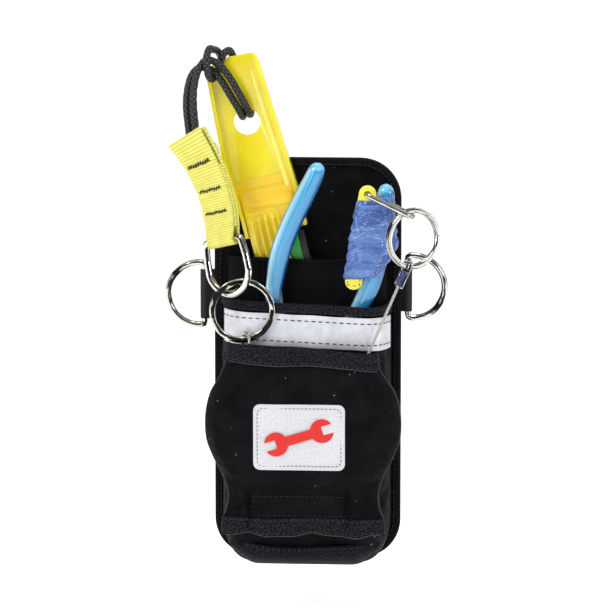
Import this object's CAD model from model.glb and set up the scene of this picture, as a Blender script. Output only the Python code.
# The looks of a tool pouch with two spring retractors, a cable knife and pliers.
# Places are written as (x, depth, z) in millimetres: a depth is the distance in front of the rear face.
import math
import bpy
from mathutils import Matrix, Vector, noise


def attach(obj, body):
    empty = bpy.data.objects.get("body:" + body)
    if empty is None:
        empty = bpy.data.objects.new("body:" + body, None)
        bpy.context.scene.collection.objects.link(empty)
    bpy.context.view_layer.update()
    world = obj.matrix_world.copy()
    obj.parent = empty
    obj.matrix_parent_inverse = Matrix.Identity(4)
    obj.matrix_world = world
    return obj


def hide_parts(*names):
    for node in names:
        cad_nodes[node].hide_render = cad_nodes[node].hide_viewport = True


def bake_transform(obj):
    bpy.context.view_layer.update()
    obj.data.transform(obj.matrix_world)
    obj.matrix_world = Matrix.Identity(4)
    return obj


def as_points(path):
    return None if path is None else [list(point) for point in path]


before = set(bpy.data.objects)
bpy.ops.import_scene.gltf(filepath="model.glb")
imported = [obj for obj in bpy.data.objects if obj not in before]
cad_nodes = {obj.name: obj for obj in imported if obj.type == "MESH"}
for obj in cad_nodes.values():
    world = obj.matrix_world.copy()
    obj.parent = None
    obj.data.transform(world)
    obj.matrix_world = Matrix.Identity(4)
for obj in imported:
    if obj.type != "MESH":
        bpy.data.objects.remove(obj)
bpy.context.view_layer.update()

MM = 0.001
scene = bpy.context.scene


# ---------------------------------------------------------------- camera, light and floor

def at(x, depth, z):
    """A place in millimetres as a vector in the frame's axes, still in millimetres."""
    return Vector((x, -depth, z))


FORWARD, BACKWARD = (0, -1, 0), (0, 1, 0)


def aim(obj, target):
    obj.rotation_euler = (target - obj.location).to_track_quat("-Z", "Y").to_euler()


CAMERA_AZIMUTH = math.radians(4)
CAMERA_ELEVATION = math.radians(9)
CAMERA_DISTANCE = 3.2
VIEW_WIDTH = 0.456
SENSOR_WIDTH = 36
view_centre = at(0, 45, -59.7) * MM
view_direction = Vector((
    math.sin(CAMERA_AZIMUTH) * math.cos(CAMERA_ELEVATION),
    -math.cos(CAMERA_AZIMUTH) * math.cos(CAMERA_ELEVATION),
    math.sin(CAMERA_ELEVATION),
))
camera_data = bpy.data.cameras.new("camera")
camera_data.sensor_width = SENSOR_WIDTH
camera_data.lens = SENSOR_WIDTH * CAMERA_DISTANCE / VIEW_WIDTH
camera_data.clip_end = 20
camera = bpy.data.objects.new("camera", camera_data)
camera.location = view_centre + view_direction * CAMERA_DISTANCE
aim(camera, view_centre)
scene.collection.objects.link(camera)
scene.camera = camera


def area_light(name, place, size, power, target=view_centre, size_y=None):
    data = bpy.data.lights.new(name, "AREA")
    data.shape = "RECTANGLE"
    data.size = size
    data.size_y = size_y or size
    data.energy = power
    light = bpy.data.objects.new(name, data)
    light.location = place
    aim(light, target)
    scene.collection.objects.link(light)


area_light("key_light", (-1.0, -1.5, 1.2), 0.6, 17)
area_light("fill_light", (1.5, -1.4, 0.5), 0.5, 7)
area_light("top_light", (0.1, -0.3, 1.6), 0.6, 9)
area_light("strip_light", (-0.75, -2.0, 0.25), 0.1, 5, size_y=1.6)
area_light("left_edge_light", (-1.4, -0.2, 0.2), 0.2, 4, size_y=1.4)
area_light("right_edge_light", (1.4, -0.2, 0.3), 0.2, 4, size_y=1.4)

# The room is dim round the lights, so that metal and dark cloth keep their contrast.
world = bpy.data.worlds.new("studio")
world.use_nodes = True
world_nodes = world.node_tree.nodes
world_links = world.node_tree.links
background = world_nodes["Background"]
direction = world_nodes.new("ShaderNodeTexCoord")
split = world_nodes.new("ShaderNodeSeparateXYZ")
room = world_nodes.new("ShaderNodeMapRange")
room.inputs["From Min"].default_value = 0.15
room.inputs["From Max"].default_value = 1.0
room.inputs["To Min"].default_value = 0.04
room.inputs["To Max"].default_value = 0.7
world_links.new(direction.outputs["Generated"], split.inputs[0])
world_links.new(split.outputs["Z"], room.inputs["Value"])
world_links.new(room.outputs["Result"], background.inputs["Strength"])
background.inputs["Color"].default_value = (1.0, 1.0, 1.0, 1)
scene.world = world
scene.view_settings.view_transform = "Standard"
scene.view_settings.look = "None"


# ---------------------------------------------------------------- materials

def rgb(red, green, blue):
    """A colour given as 0-255 screen values, as linear light."""
    def linear(value):
        value /= 255
        return value / 12.92 if value <= 0.04045 else ((value + 0.055) / 1.055) ** 2.4
    return (linear(red), linear(green), linear(blue), 1)


class Finish:
    """A material built from procedural nodes. Constants go straight on the shader's sockets."""

    def __init__(self, name, color, roughness, metallic=0.0, along_cloth=False, **constants):
        self.material = bpy.data.materials.new(name)
        self.material.use_nodes = True
        self.tree = self.material.node_tree
        self.shader = self.tree.nodes["Principled BSDF"]
        self.shader.inputs["Base Color"].default_value = color
        self.shader.inputs["Roughness"].default_value = roughness
        self.shader.inputs["Metallic"].default_value = metallic
        for socket, value in constants.items():
            self.shader.inputs[socket.replace("_", " ")].default_value = value
        if along_cloth:
            self.coords = self.node("ShaderNodeUVMap", uv_map="Cloth").outputs["UV"]
        else:
            self.coords = self.node("ShaderNodeTexCoord").outputs["Object"]

    def node(self, kind, **settings):
        made = self.tree.nodes.new(kind)
        for key, value in settings.items():
            setattr(made, key, value)
        return made

    def feed(self, socket, value):
        if hasattr(value, "is_output"):
            self.tree.links.new(value, socket)
        else:
            socket.default_value = value

    def stretched(self, scale):
        mapping = self.node("ShaderNodeMapping")
        self.feed(mapping.inputs["Vector"], self.coords)
        mapping.inputs["Scale"].default_value = scale
        return mapping.outputs["Vector"]

    def noise(self, size, detail=4, rough=0.55, distortion=0, coords=None):
        """Noise whose features are about size millimetres."""
        tex = self.node("ShaderNodeTexNoise")
        self.feed(tex.inputs["Vector"], coords or self.coords)
        tex.inputs["Scale"].default_value = 1 / (size * MM)
        tex.inputs["Detail"].default_value = detail
        tex.inputs["Roughness"].default_value = rough
        tex.inputs["Distortion"].default_value = distortion
        return tex.outputs["Fac"]

    def cells(self, size):
        """The distance from scattered points that are about size millimetres apart."""
        tex = self.node("ShaderNodeTexVoronoi")
        self.feed(tex.inputs["Vector"], self.coords)
        tex.inputs["Scale"].default_value = 1 / (size * MM)
        return tex.outputs["Distance"]

    def bands(self, period, direction="X", distortion=0.0, coords=None):
        """Parallel bands, one every period millimetres."""
        tex = self.node("ShaderNodeTexWave", wave_type="BANDS", bands_direction=direction)
        self.feed(tex.inputs["Vector"], coords or self.coords)
        tex.inputs["Scale"].default_value = 2 * math.pi / (20 * period * MM)
        tex.inputs["Distortion"].default_value = distortion
        tex.inputs["Detail"].default_value = 1
        tex.inputs["Detail Scale"].default_value = 2
        return tex.outputs["Fac"]

    def math(self, operation, first, second):
        made = self.node("ShaderNodeMath", operation=operation)
        self.feed(made.inputs[0], first)
        self.feed(made.inputs[1], second)
        return made.outputs[0]

    def facing(self, normal, direction):
        """How far a face's own normal points in a direction, from -1 to 1."""
        made = self.node("ShaderNodeVectorMath", operation="DOT_PRODUCT")
        self.feed(made.inputs[0], normal)
        made.inputs[1].default_value = direction
        return made.outputs["Value"]

    def levels(self, value, low, high, low_value=0.0, high_value=1.0):
        made = self.node("ShaderNodeMapRange")
        self.feed(made.inputs["Value"], value)
        made.inputs["From Min"].default_value = low
        made.inputs["From Max"].default_value = high
        made.inputs["To Min"].default_value = low_value
        made.inputs["To Max"].default_value = high_value
        return made.outputs["Result"]

    def mix(self, factor, first, second):
        made = self.node("ShaderNodeMix", data_type="RGBA")
        self.feed(made.inputs["Factor"], factor)
        self.feed(made.inputs["A"], first)
        self.feed(made.inputs["B"], second)
        return made.outputs["Result"]

    def bump(self, height, depth, strength=1.0):
        """Adds relief that is depth millimetres high, on top of any relief already there."""
        made = self.node("ShaderNodeBump")
        self.feed(made.inputs["Height"], height)
        made.inputs["Distance"].default_value = depth * MM
        made.inputs["Strength"].default_value = strength
        normal = self.shader.inputs["Normal"]
        if normal.is_linked:
            self.tree.links.new(normal.links[0].from_socket, made.inputs["Normal"])
        self.tree.links.new(made.outputs["Normal"], normal)
        return self

    def color(self, socket):
        self.feed(self.shader.inputs["Base Color"], socket)
        return self

    def roughness(self, socket):
        self.feed(self.shader.inputs["Roughness"], socket)
        return self


def weave_height(finish, period):
    """The relief of a plain weave: two sets of threads that pass over each other."""
    over = finish.bands(period, "X", 0.6)
    under = finish.bands(period, "Y", 0.6)
    return finish.math("MULTIPLY", over, under)


def dusty(finish, dark, light, lint):
    """Black cloth colour: cloudy wear, and single pale specks of lint."""
    clouds = finish.levels(finish.noise(26, 5, 0.6), 0.35, 0.72)
    grain = finish.levels(finish.noise(0.8, 3, 0.75), 0.36, 0.66)
    base = finish.mix(finish.math("MULTIPLY", clouds, grain), dark, light)
    specks = finish.levels(finish.cells(6.5), 0.07, 0.045)
    keep = finish.levels(finish.noise(13, 2), 0.5, 0.55)
    return finish.mix(finish.math("MULTIPLY", specks, keep), base, lint)


def neoprene():
    made = Finish("neoprene", rgb(8, 8, 10), 0.8, along_cloth=True, Specular_IOR_Level=0.09)
    made.color(dusty(made, rgb(1, 1, 2), rgb(25, 25, 30), rgb(170, 170, 176)))
    made.roughness(made.levels(made.noise(9, 5), 0.3, 0.7, 0.56, 0.78))
    made.bump(weave_height(made, 0.9), 0.22, 0.9)
    return made.bump(made.noise(5.5, 6, 0.62, 0.4), 0.6, 0.45).material


def knit():
    """Stretched ribbed knit, for the rear pocket."""
    made = Finish("ribbed_knit", rgb(8, 8, 10), 0.85, along_cloth=True, Specular_IOR_Level=0.12)
    ribs = made.bands(1.9, "X", 0.5)
    made.color(made.mix(ribs, rgb(2, 2, 3), rgb(18, 18, 22)))
    made.bump(ribs, 0.5, 0.8)
    return made.bump(made.bands(0.9, "Y", 1.0), 0.15, 0.6).material


def twill(name, thread):
    """Herringbone tape: bright slanted threads on black."""
    made = Finish(name, rgb(14, 14, 17), 0.7, along_cloth=True, Specular_IOR_Level=0.1)
    diagonal = made.bands(0.95, "DIAGONAL", 1.6)
    worn = made.levels(made.noise(1.5, 4, 0.7), 0.44, 0.62)
    made.color(made.mix(made.math("MULTIPLY", diagonal, worn), rgb(0, 0, 1), thread))
    made.bump(diagonal, 0.3, 0.9)
    return made.bump(made.noise(8, 4), 0.5, 0.4).material


def webbing(name, dark, light, rib=1.6):
    """Woven strap: ribs across its length, and finer threads along it."""
    made = Finish(name, light, 0.6, along_cloth=True, Specular_IOR_Level=0.35)
    ribs = made.bands(rib, "Y", 0.35)
    threads = made.bands(0.8, "X", 0.4)
    wear = made.levels(made.noise(7, 5), 0.3, 0.7, 0.6, 1)
    shade = made.math("MULTIPLY", made.levels(ribs, 0, 1, 0.35, 1), wear)
    made.color(made.mix(shade, dark, light))
    made.bump(ribs, 0.28, 0.9)
    return made.bump(threads, 0.1, 0.7).material


def reflective():
    made = Finish("reflective_band", rgb(205, 207, 213), 0.42, 0.35, along_cloth=True)
    wear = made.levels(made.noise(14, 6, 0.65, 0.6), 0.35, 0.7)
    made.color(made.mix(wear, rgb(220, 222, 228), rgb(196, 199, 206)))
    made.roughness(made.levels(made.noise(6, 5), 0.3, 0.7, 0.34, 0.56))
    made.bump(weave_height(made, 0.6), 0.05, 0.6)
    return made.bump(made.noise(11, 4, 0.5, 0.8), 0.3, 0.3).material


def label_cloth():
    made = Finish("label_cloth", rgb(228, 228, 232), 0.5, 0.15, along_cloth=True, Sheen_Weight=0.2)
    grain = made.noise(1.3, 3, 0.7)
    made.color(made.mix(made.levels(grain, 0.3, 0.7), rgb(190, 190, 195), rgb(222, 222, 226)))
    made.bump(weave_height(made, 0.55), 0.07, 0.7)
    return made.bump(grain, 0.12, 0.5).material


def flocked(name, base, bright, pile=0.8):
    """A matt, finely mottled surface: hook and loop pile, print, thread or a cut edge."""
    made = Finish(name, base, 0.72)
    made.color(made.mix(made.levels(made.noise(pile, 3, 0.7), 0.35, 0.65), base, bright))
    return made.bump(made.noise(pile, 3, 0.7), 0.25, 0.7).material


def metal(name, color, tint, roughness, scratch=0.03):
    made = Finish(name, color, roughness, 1.0)
    streaks = made.noise(1.6, 5, 0.7, coords=made.stretched((1, 1, 0.14)))
    made.color(made.mix(made.levels(made.noise(8, 4), 0.35, 0.7), color, tint))
    made.roughness(made.levels(streaks, 0.3, 0.75, roughness * 0.7, roughness * 1.9))
    return made.bump(streaks, scratch, 0.4).material


def chrome():
    """Bright plating, with the dark lines of an unlit room running round each wire."""
    made = Finish("chrome", rgb(190, 187, 180), 0.08, 1.0)
    side = made.facing(made.node("ShaderNodeTexCoord").outputs["Normal"], (0.58, 0.3, 0.75))
    across = made.math("ADD", side, made.levels(made.noise(7, 3), 0.3, 0.7, -0.12, 0.12))
    line = made.math("MULTIPLY", made.levels(across, -0.42, -0.3), made.levels(across, 0.02, -0.12))
    second = made.math("MULTIPLY", made.levels(across, 0.42, 0.5), made.levels(across, 0.68, 0.6))
    made.color(made.mix(made.math("MAXIMUM", line, second), rgb(206, 203, 197), rgb(30, 28, 26)))
    streaks = made.noise(1.6, 5, 0.7)
    made.roughness(made.levels(streaks, 0.3, 0.75, 0.05, 0.16))
    return made.bump(streaks, 0.02, 0.4).material


def dipped_vinyl():
    """Translucent vinyl skin: deep blue where it turns from the front, with a pale line down its face."""
    made = Finish("grip_blue", rgb(40, 140, 205), 0.14, Coat_Weight=1.0, Coat_Roughness=0.06)
    normal = made.node("ShaderNodeTexCoord").outputs["Normal"]
    front = made.facing(normal, (-0.2, -0.97, 0.1))
    drift = made.levels(made.noise(26, 2), 0.3, 0.7, -0.02, 0.02)
    body = made.mix(made.levels(made.math("ADD", front, drift), 0.3, 1.0), rgb(8, 84, 150), rgb(58, 158, 208))
    line = made.facing(normal, (-0.62, -0.76, 0.2))
    made.color(made.mix(made.levels(line, 0.9, 1.0, 0, 0.7), body, rgb(192, 236, 248)))
    return made.bump(made.noise(3, 5, 0.6), 0.03, 0.6).material


def plastic(name, color, shade, roughness, coat=0.0):
    """Moulded plastic: a faint colour drift, fine orange peel, and handling marks in the gloss."""
    made = Finish(name, color, roughness, Coat_Weight=coat, Coat_Roughness=0.06)
    made.color(made.mix(made.levels(made.noise(24, 4), 0.35, 0.7), color, shade))
    marks = made.noise(2.2, 6, 0.7, 0.5, made.stretched((1, 1, 0.25)))
    made.roughness(made.levels(marks, 0.3, 0.75, roughness * 0.75, roughness * 1.5))
    return made.bump(made.noise(3, 5, 0.6), 0.05, 0.6).material


def fused_tape():
    made = Finish("fused_tape", rgb(82, 104, 190), 0.42, along_cloth=True, Subsurface_Weight=0.12)
    made.shader.inputs["Subsurface Radius"].default_value = (0.001, 0.0015, 0.003)
    patches = made.levels(made.noise(9, 5, 0.6, 1.2), 0.42, 0.68)
    base = made.mix(patches, rgb(44, 78, 152), rgb(106, 142, 202))
    pale = made.levels(made.noise(3.4, 5, 0.65, 2.4), 0.56, 0.72)
    made.color(made.mix(pale, base, rgb(204, 220, 246)))
    made.bump(made.noise(2.6, 5, 0.6, 1.5), 0.5, 0.6)
    return made.bump(made.bands(4.2, "Y", 3.0), 0.5, 0.5).material


def braid(name, dark, light, period):
    """Colour of a braided cord, whose crossing strands run both ways round it."""
    made = Finish(name, light, 0.55, along_cloth=True, Specular_IOR_Level=0.4)
    one = made.bands(period, "DIAGONAL", 0.2)
    other = made.bands(period, "DIAGONAL", 0.2, made.stretched((-1, 1, 1)))
    cross = made.math("MULTIPLY", one, other)
    made.color(made.mix(made.levels(cross, 0.12, 0.7), dark, light))
    made.roughness(made.levels(cross, 0.1, 0.8, 0.5, 0.32))
    return made.bump(cross, 0.3, 0.9).material


NEOPRENE = neoprene()
KNIT = knit()
TWILL = twill("twill_tape", rgb(66, 66, 75))
BINDING = twill("binding_tape", rgb(32, 32, 38))
BLACK_WEBBING = webbing("black_webbing", rgb(3, 3, 4), rgb(26, 26, 30))
YELLOW_WEBBING = webbing("yellow_webbing", rgb(186, 174, 40), rgb(238, 236, 130), 2.1)
YELLOW_STRAP = webbing("yellow_strap", rgb(226, 214, 46), rgb(252, 248, 104), 1.4)
REFLECTIVE = reflective()
LABEL_CLOTH = label_cloth()
EMBLEM = flocked("emblem_print", rgb(196, 24, 20), rgb(226, 42, 36), 0.9)
HOOK_PILE = flocked("hook_pile", rgb(10, 10, 12), rgb(52, 52, 56), 1.1)
TAG = flocked("tag_print", rgb(226, 226, 222), rgb(250, 250, 246), 1.6)
THREAD = flocked("black_thread", rgb(9, 9, 11), rgb(34, 34, 38), 0.5)
GREY_THREAD = flocked("grey_thread", rgb(12, 12, 14), rgb(44, 44, 50), 0.5)
CUT_EDGE = flocked("cut_edge", rgb(16, 16, 19), rgb(66, 66, 73), 1.2)
LABEL_THREAD = flocked("label_thread", rgb(92, 92, 100), rgb(160, 160, 168), 0.5)
CHROME = chrome()
STEEL = metal("steel", rgb(150, 152, 156), rgb(112, 112, 114), 0.34, 0.06)
BLACK_PLASTIC = plastic("black_plastic", rgb(20, 20, 22), rgb(34, 34, 37), 0.38)
KNIFE_YELLOW = plastic("knife_yellow", rgb(240, 227, 36), rgb(233, 213, 27), 0.22, 0.6)
POLISHED_YELLOW = plastic("polished_yellow", rgb(254, 247, 130), rgb(250, 240, 96), 0.15, 0.8)
KNIFE_GOLD = plastic("knife_gold", rgb(246, 212, 30), rgb(250, 228, 48), 0.22, 0.6)
KNIFE_AMBER = plastic("knife_amber", rgb(244, 194, 22), rgb(248, 218, 36), 0.22, 0.6)
KNIFE_GREEN = plastic("knife_green", rgb(36, 150, 62), rgb(84, 196, 92), 0.24, 0.4)
GRIP_BLUE = dipped_vinyl()
GRIP_TIP = plastic("grip_tip", rgb(96, 176, 224), rgb(128, 200, 236), 0.3, 0.3)
SWIVEL_BLUE = plastic("swivel_blue", rgb(36, 42, 104), rgb(56, 62, 132), 0.3, 0.2)
TAPE = fused_tape()
BLACK_BRAID = braid("black_braid", rgb(1, 1, 2), rgb(66, 66, 74), 1.9)
WHITE_BRAID = braid("white_braid", rgb(140, 136, 128), rgb(240, 238, 232), 0.9)
WOUND_CORD = flocked("wound_cord", rgb(176, 170, 160), rgb(222, 218, 210), 0.9)


# ---------------------------------------------------------------- mesh making

def piece(name, verts, faces, material, body, replaces=None, uvs=None, place=None):
    """Makes an object from vertices in millimetres, and puts it on its body."""
    mesh = bpy.data.meshes.new(name)
    place = place or Matrix.Identity(4)
    mesh.from_pydata([tuple((place @ Vector(v)) * MM) for v in verts], [], faces)
    if uvs:
        layer = mesh.uv_layers.new(name="Cloth")
        for loop in mesh.loops:
            u, v = uvs[loop.vertex_index]
            layer.data[loop.index].uv = (u * MM, v * MM)
    mesh.materials.append(material)
    mesh.polygons.foreach_set("use_smooth", [True] * len(mesh.polygons))
    obj = bpy.data.objects.new(name, mesh)
    scene.collection.objects.link(obj)
    if body:
        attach(obj, body)
    if replaces:
        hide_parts(replaces)
    return obj


def modified(obj, *modifiers):
    """Adds modifiers given as (type, settings), and applies them all."""
    for kind, settings in modifiers:
        added = obj.modifiers.new(kind.lower(), kind)
        for key, value in settings.items():
            setattr(added, key, value)
    bpy.context.view_layer.update()
    evaluated = obj.evaluated_get(bpy.context.evaluated_depsgraph_get())
    mesh = bpy.data.meshes.new_from_object(evaluated)
    obj.modifiers.clear()
    obj.data = mesh
    mesh.polygons.foreach_set("use_smooth", [True] * len(mesh.polygons))
    return obj


SUBDIVIDE = ("SUBSURF", {"levels": 1, "render_levels": 1})


def refined(name, node, material, body, bevel=0.6, segments=3, cloth_frame=None):
    """A CAD solid with its edges rounded. cloth_frame lays a cloth pattern along the piece."""
    mesh = cad_nodes[node].data.copy()
    mesh.materials.clear()
    mesh.materials.append(material)
    obj = bpy.data.objects.new(name, mesh)
    scene.collection.objects.link(obj)
    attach(obj, body)
    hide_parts(node)
    weld = ("WELD", {"merge_threshold": 0.00002})
    round_edges = ("BEVEL", {
        "width": bevel * MM, "segments": segments, "limit_method": "ANGLE",
        "angle_limit": math.radians(30), "use_clamp_overlap": True,
    })
    modified(obj, weld, round_edges)
    if cloth_frame:
        inverse = cloth_frame.inverted()
        layer = obj.data.uv_layers.new(name="Cloth")
        for loop in obj.data.loops:
            local = inverse @ (obj.data.vertices[loop.vertex_index].co / MM)
            layer.data[loop.index].uv = (local.x * MM, local.z * MM)
    return obj


def spline(points, count, closed=False):
    """Points at equal distances along a smooth curve through the given points."""
    points = [Vector(p) for p in points]
    total = len(points)
    dense = []
    spans = total if closed else total - 1
    for i in range(spans):
        if closed:
            p0, p1, p2, p3 = (points[(i + k - 1) % total] for k in range(4))
        else:
            p1, p2 = points[i], points[i + 1]
            p0 = points[i - 1] if i else p1 + (p1 - p2)
            p3 = points[i + 2] if i + 2 < total else p2 + (p2 - p1)
        for step in range(12):
            t = step / 12
            dense.append(0.5 * (
                2 * p1 + (p2 - p0) * t + (2 * p0 - 5 * p1 + 4 * p2 - p3) * t * t
                + (3 * p1 - p0 - 3 * p2 + p3) * t ** 3
            ))
    dense.append(points[0] if closed else points[-1])
    return even(dense, count, closed)


def even(dense, count, closed=False):
    """count points at equal distances along a polyline."""
    lengths = [0.0]
    for a, b in zip(dense, dense[1:]):
        lengths.append(lengths[-1] + (b - a).length)
    steps = count if closed else count - 1
    result = []
    index = 0
    for i in range(count):
        target = lengths[-1] * i / steps
        while index < len(dense) - 2 and lengths[index + 1] < target:
            index += 1
        span = lengths[index + 1] - lengths[index] or 1
        result.append(dense[index].lerp(dense[index + 1], (target - lengths[index]) / span))
    return result


def path_length(points):
    return sum((b - a).length for a, b in zip(points, points[1:]))


def path_frames(points, closed=False, hint=FORWARD):
    """A (tangent, side, up) frame at each point, turning as little as it can from one to the next."""
    count = len(points)
    frames = []
    up = Vector(hint)
    for i, point in enumerate(points):
        before = points[i - 1] if i or closed else point
        after = points[(i + 1) % count] if i + 1 < count or closed else point
        tangent = (after - before).normalized()
        up = (up - tangent * up.dot(tangent)).normalized()
        frames.append((tangent, tangent.cross(up), up))
    return frames


def tube_faces(rows, sides, closed=False):
    """The faces of a tube whose vertices stand in rows. Its ends are shut unless it is closed on itself."""
    faces = []
    for i in range(rows if closed else rows - 1):
        here, there = i * sides, (i + 1) % rows * sides
        for k in range(sides):
            after = (k + 1) % sides
            faces.append((here + k, here + after, there + after, there + k))
    if not closed:
        faces.append(tuple(reversed(range(sides))))
        faces.append(tuple(range((rows - 1) * sides, rows * sides)))
    return faces


def grid_faces(across, down):
    row = across + 1
    return [
        (j * row + i, (j + 1) * row + i, (j + 1) * row + i + 1, j * row + i + 1)
        for j in range(down) for i in range(across)
    ]


def swept(name, points, section, material, body, closed=False, hint=FORWARD, fixed_up=False, **options):
    """Sweeps a section along points. section(t, i) gives (side, up) offsets, t running from 0 to 1."""
    frames = path_frames(points, closed, hint)
    if fixed_up:
        frames = [path_frames([p, p + tangent], hint=hint)[0] for p, (tangent, _, _) in zip(points, frames)]
    verts, uvs = [], []
    travelled = 0.0
    count = len(points)
    size = len(section(0.0, 0))
    for i, (point, (_, side, up)) in enumerate(zip(points, frames)):
        if i:
            travelled += (point - points[i - 1]).length
        t = i / (count if closed else count - 1)
        offsets = section(t, i)
        round_length = 0.0
        for k, (a, b) in enumerate(offsets):
            if k:
                round_length += math.hypot(a - offsets[k - 1][0], b - offsets[k - 1][1])
            verts.append(point + side * a + up * b)
            uvs.append((round_length, travelled))
    faces = [tuple(reversed(face)) for face in tube_faces(count, size, closed)]
    return piece(name, verts, faces, material, body, uvs=uvs, **options)


def circle(radius, sides=16):
    angles = [2 * math.pi * k / sides for k in range(sides)]
    return [(radius * math.cos(angle), radius * math.sin(angle)) for angle in angles]


def squared(value, exponent):
    """A sine or cosine raised to a power with its sign kept: below 1 it squares a circle off."""
    return math.copysign(abs(value) ** exponent, value)


def rounded_box(half_a, half_b, power=4, sides=28):
    """A superellipse: a box section with soft corners."""
    points = []
    for k in range(sides):
        angle = 2 * math.pi * k / sides
        points.append(
            (half_a * squared(math.cos(angle), 2 / power), half_b * squared(math.sin(angle), 2 / power)))
    return points


def wire(name, points, radius, body, material, sides=18, **options):
    """A closed loop of round wire."""
    return swept(name, points, lambda t, i: circle(radius, sides), material, body, closed=True, **options)


CLOTH_EXCESS = 0.04
CLOTH_PRESSURE = 1.5
CLOTH_FRAMES = 20
LARGEST_MOVE = 2.6 * MM


def settled(obj, held):
    """Cloth simulation: an oversized sheet finds its own folds between the places where it is sewn down."""
    loose = bpy.data.objects.new(obj.name + "_loose", obj.data.copy())
    loose.matrix_world = obj.matrix_world
    scene.collection.objects.link(loose)
    group = loose.vertex_groups.new(name="sewn")
    for vertex in obj.data.vertices:
        group.add([vertex.index], held(obj.matrix_world @ vertex.co / MM), "REPLACE")
    cloth = loose.modifiers.new("cloth", "CLOTH")
    for key, value in {
        "quality": 6, "mass": 0.25, "tension_stiffness": 18, "compression_stiffness": 18,
        "shear_stiffness": 6,
        "bending_stiffness": 0.8, "vertex_group_mass": "sewn", "shrink_min": -CLOTH_EXCESS,
        "shrink_max": -CLOTH_EXCESS,
        "use_pressure": True, "uniform_pressure_force": CLOTH_PRESSURE,
    }.items():
        setattr(cloth.settings, key, value)
    cloth.settings.effector_weights.gravity = 0
    cloth.collision_settings.use_collision = False
    cloth.point_cache.frame_end = CLOTH_FRAMES
    for number in range(1, CLOTH_FRAMES + 1):
        scene.frame_set(number)
    result = loose.evaluated_get(bpy.context.evaluated_depsgraph_get()).data.vertices
    moves = [after.co - before.co for after, before in zip(result, obj.data.vertices)]
    for vertex, move in zip(obj.data.vertices, moves):
        vertex.co += move * LARGEST_MOVE / (LARGEST_MOVE + move.length)
    bpy.data.objects.remove(loose)
    scene.frame_set(1)


def cloth_sheet(name, surface, across, down, thick, material, body, size, held=None, **options):
    """A sheet of cloth. surface(u, v) gives its outer face, u and v from 0 to 1, and size its flat size."""
    verts, uvs = [], []
    for j in range(down + 1):
        for i in range(across + 1):
            u, v = i / across, j / down
            verts.append(surface(u, v))
            uvs.append((u * size[0], v * size[1]))
    obj = piece(name, verts, grid_faces(across, down), material, body, uvs=uvs, **options)
    if held:
        settled(obj, held)
    solidify = ("SOLIDIFY", {"thickness": thick * MM, "offset": -1, "use_even_offset": True})
    return modified(obj, solidify, SUBDIVIDE)


def stitches(name, rows, material, body, length=2.6, gap=1.5, radius=0.42, place=None):
    """Rows of raised stitches. Each row is (points, outward direction or directions)."""
    verts, faces = [], []
    sides, rings = 6, [(-0.5, 0.35), (-0.32, 0.9), (0.0, 1.0), (0.32, 0.9), (0.5, 0.35)]
    for points, outward in rows:
        pitch = length + gap
        count = max(2, int(path_length(points) / pitch) * 2 + 1)
        places = even(points, count)
        for k in range(0, count - 1, 2):
            start, end = places[k], places[k + 1]
            middle = start.lerp(end, 0.5)
            tangent = (end - start).normalized()
            if callable(outward):
                up = outward(middle)
            else:
                up = Vector(outward)
            up = (up - tangent * up.dot(tangent)).normalized()
            side = tangent.cross(up)
            base = len(verts)
            for offset, scale in rings:
                centre = middle + tangent * offset * length + up * radius * (0.25 - 1.2 * offset * offset)
                for j in range(sides):
                    angle = 2 * math.pi * j / sides
                    round_it = side * math.cos(angle) + up * 0.75 * math.sin(angle)
                    verts.append(centre + round_it * radius * scale)
            faces.extend(tuple(base + n for n in reversed(face)) for face in tube_faces(len(rings), sides))
    return piece(name, verts, faces, material, body, place=place)


def wobble(place, size, height, seed=0.0):
    """Smooth noise in millimetres, with features of the given size."""
    return height * noise.noise(Vector((place[0] / size + seed, place[1] / size, place[2] / size)))


def smoothstep(low, high, value):
    t = min(1.0, max(0.0, (value - low) / (high - low)))
    return t * t * (3 - 2 * t)


def bezier(p0, p1, p2, p3, t):
    s = 1 - t
    weights = (s ** 3, 3 * s * s * t, 3 * s * t * t, t ** 3)
    return tuple(sum(w * p for w, p in zip(weights, axis)) for axis in zip(p0, p1, p2, p3))


def arc(x, z, radius, start, sweep, steps):
    """Points round (x, z) seen from the front, from start through sweep degrees, with both ends."""
    angles = [math.radians(start + sweep * k / steps) for k in range(steps + 1)]
    return [Vector((x + radius * math.cos(angle), 0, z + radius * math.sin(angle))) for angle in angles]


def rounded_outline(half, bottom, top, low_radius, high_radius, depth, steps):
    """A rounded rectangle about x = 0, anticlockwise seen from the front."""
    points = []
    for side, z, radius, start in (
        (1, bottom + low_radius, low_radius, -90), (1, top - high_radius, high_radius, 0),
        (-1, top - high_radius, high_radius, 90), (-1, bottom + low_radius, low_radius, 180),
    ):
        points.extend(p + at(0, depth, 0) for p in arc(side * (half - radius), z, radius, start, 90, steps))
    return points


def narrowed(half, radius, over):
    """Half of a width, at over millimetres past the place where a rounded corner starts."""
    if over <= 0:
        return half
    return half - radius + math.sqrt(max(0.0, radius ** 2 - min(over, radius) ** 2))


def by_height(pairs, count=120):
    """A smooth curve through (value, height) pairs."""
    return spline([(value, 0, z) for value, z in pairs], count)


def turned(x, depth, z, *turns):
    """The place of a turned group: its origin, then turns as (angle in radians, axis), outermost first."""
    matrix = Matrix.Translation(at(x, depth, z))
    for angle, axis in turns:
        matrix = matrix @ Matrix.Rotation(angle, 4, axis)
    return matrix


# ---------------------------------------------------------------- cords

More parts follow.
